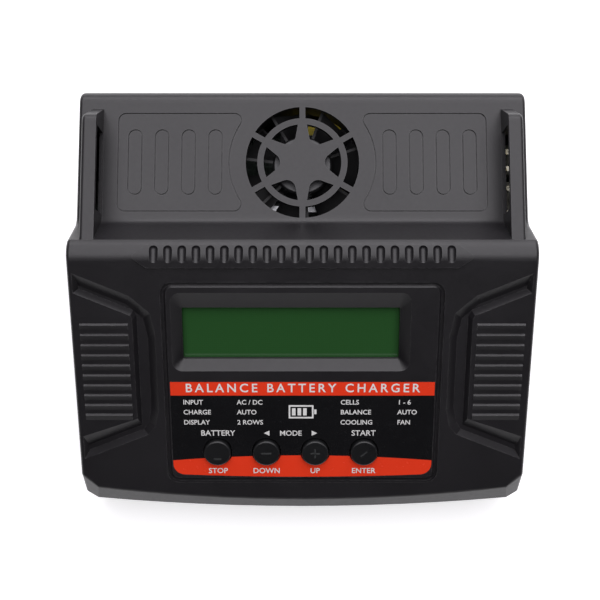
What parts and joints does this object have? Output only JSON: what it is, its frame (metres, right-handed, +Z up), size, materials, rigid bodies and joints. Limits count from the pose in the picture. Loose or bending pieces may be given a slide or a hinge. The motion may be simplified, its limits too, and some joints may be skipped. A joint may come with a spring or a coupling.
{
  "type": "balance battery charger",
  "caption": "Desktop mains balance charger for model battery packs, with a sloping key and display panel and a grilled fan deck.",
  "frame": {"origin": "middle of the footprint on the table under the feet", "axes": "+X to the right as the user faces the panel, +Y to the back, +Z up"},
  "size_m": [0.138, 0.129, 0.0606],
  "materials": {
    "case_plastic": "fine spark-eroded texture, dark grey",
    "label_print": "printed polycarbonate film, black with red bands",
    "key_plastic": "smooth dark grey",
    "foot_rubber": "soft black",
    "screw_steel": "zinc plated",
    "shaft_steel": "ground",
    "switch_plastic": "moulded",
    "dark_plastic": "moulded",
    "fan_plastic": "moulded",
    "display_glass": "polished green display",
    "display_frame": "black folded sheet",
    "board_green": "solder mask",
    "bearing_bronze": "sintered",
    "copper_coil": "enamelled wire",
    "ferrite": "sintered ferrite",
    "yellow_tape": "polyester tape",
    "capacitor_sleeve": "shrink sleeve",
    "heatsink_aluminium": "extruded",
    "white_nylon": "natural nylon",
    "red_plastic": "moulded",
    "contact_metal": "plated"
  },
  "bodies": {
    "case": {"ac_inlet": "dark_plastic", "ac_inlet_pins": "contact_metal", "balance_board": "board_green", "balance_pins": "contact_metal", "balance_socket_2s": "white_nylon", "balance_socket_3s": "white_nylon", "balance_socket_4s": "white_nylon", "balance_socket_5s": "white_nylon", "balance_socket_6s": "white_nylon", "board_connectors": "white_nylon", "board_screws": "screw_steel", "bottom_case": "case_plastic", "bulk_capacitor": "capacitor_sleeve", "buzzer": "dark_plastic", "case_screws": "screw_steel", "control_board": "board_green", "control_board_screws": "screw_steel", "dc_jack": "dark_plastic", "dc_jack_pin": "contact_metal", "fan_bearing": "bearing_bronze", "fan_frame": "fan_plastic", "fan_screws": "screw_steel", "fan_stator": "copper_coil", "foot_front_left": "foot_rubber", "foot_front_right": "foot_rubber", "foot_rear_left": "foot_rubber", "foot_rear_right": "foot_rubber", "front_label": "label_print", "lcd_bezel": "display_frame", "lcd_board": "board_green", "lcd_glass": "display_glass", "main_board": "board_green", "main_heatsink": "heatsink_aluminium", "mains_choke": "ferrite", "output_capacitors": "capacitor_sleeve", "output_contacts": "contact_metal", "output_socket_black": "dark_plastic", "output_socket_red": "red_plastic", "output_transistors": "dark_plastic", "power_board": "board_green", "power_heatsink": "heatsink_aluminium", "power_inductor": "ferrite", "power_transistors": "dark_plastic", "switch_base_down": "dark_plastic", "switch_base_enter": "dark_plastic", "switch_base_stop": "dark_plastic", "switch_base_up": "dark_plastic", "top_cover": "case_plastic", "transformer_core": "ferrite", "transformer_winding": "yellow_tape"},
    "fan_rotor": {"fan_impeller": "fan_plastic", "fan_shaft": "shaft_steel"},
    "key_stop": {"button_stop": "key_plastic", "switch_plunger_stop": "switch_plastic"},
    "key_down": {"button_down": "key_plastic", "switch_plunger_down": "switch_plastic"},
    "key_up": {"button_up": "key_plastic", "switch_plunger_up": "switch_plastic"},
    "key_enter": {"button_enter": "key_plastic", "switch_plunger_enter": "switch_plastic"}
  },
  "joints": [
    {"name": "press_stop", "type": "slide", "parent": "case", "child": "key_stop", "axis": [0, 0.4226, -0.9063], "range_m": [0, 0.0005], "stiffness_N_per_m": 2000},
    {"name": "press_down", "type": "slide", "parent": "case", "child": "key_down", "axis": [0, 0.4226, -0.9063], "range_m": [0, 0.0005], "stiffness_N_per_m": 2000},
    {"name": "press_up", "type": "slide", "parent": "case", "child": "key_up", "axis": [0, 0.4226, -0.9063], "range_m": [0, 0.0005], "stiffness_N_per_m": 2000},
    {"name": "press_enter", "type": "slide", "parent": "case", "child": "key_enter", "axis": [0, 0.4226, -0.9063], "range_m": [0, 0.0005], "stiffness_N_per_m": 2000},
    {"name": "fan_spin", "type": "hinge", "parent": "case", "child": "fan_rotor", "pos_m": [0, 0.0414, 0.038], "axis": [0, 0, 1], "continuous": true}
  ]
}
